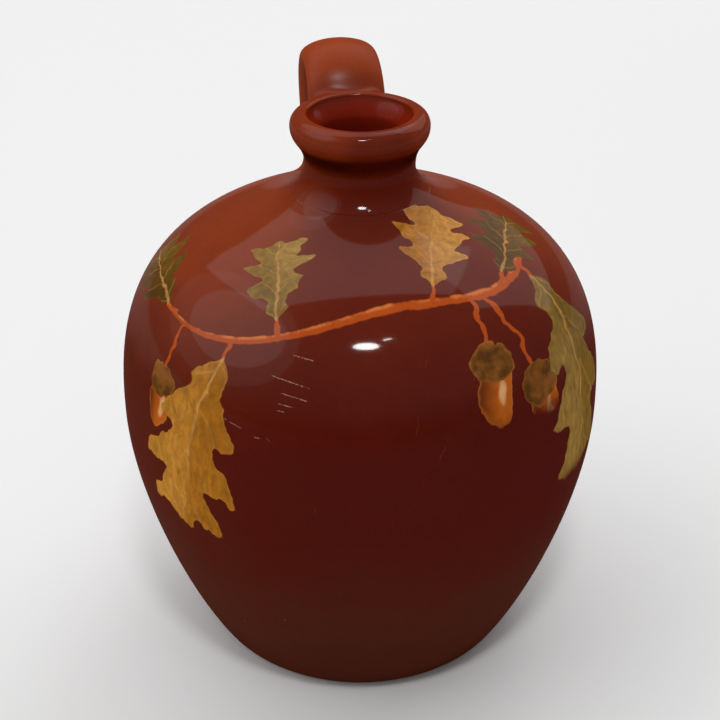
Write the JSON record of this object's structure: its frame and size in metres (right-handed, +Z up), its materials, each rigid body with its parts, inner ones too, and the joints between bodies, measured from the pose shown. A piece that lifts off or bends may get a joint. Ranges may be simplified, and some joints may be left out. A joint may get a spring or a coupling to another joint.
{
  "type": "handled pottery jug",
  "caption": "Glazed pottery jug: round hollow belly on a turned foot, narrow neck with a rolled rim, and a strap handle looping from the neck to the shoulder.",
  "frame": {"origin": "middle of the flat foot ring, on the surface that the jug stands on", "axes": "+Z up along the jug's axis, handle towards +Y, painted front towards -Y, +X to the right seen from the front"},
  "size_m": [0.146, 0.146, 0.1798],
  "materials": {
    "body_glaze": "gloss",
    "handle_glaze": "gloss"
  },
  "bodies": {
    "root": {"belly": "body_glaze", "neck": "body_glaze", "handle": "handle_glaze", "neck_join": "handle_glaze", "shoulder_join": "handle_glaze"}
  },
  "joints": []
}
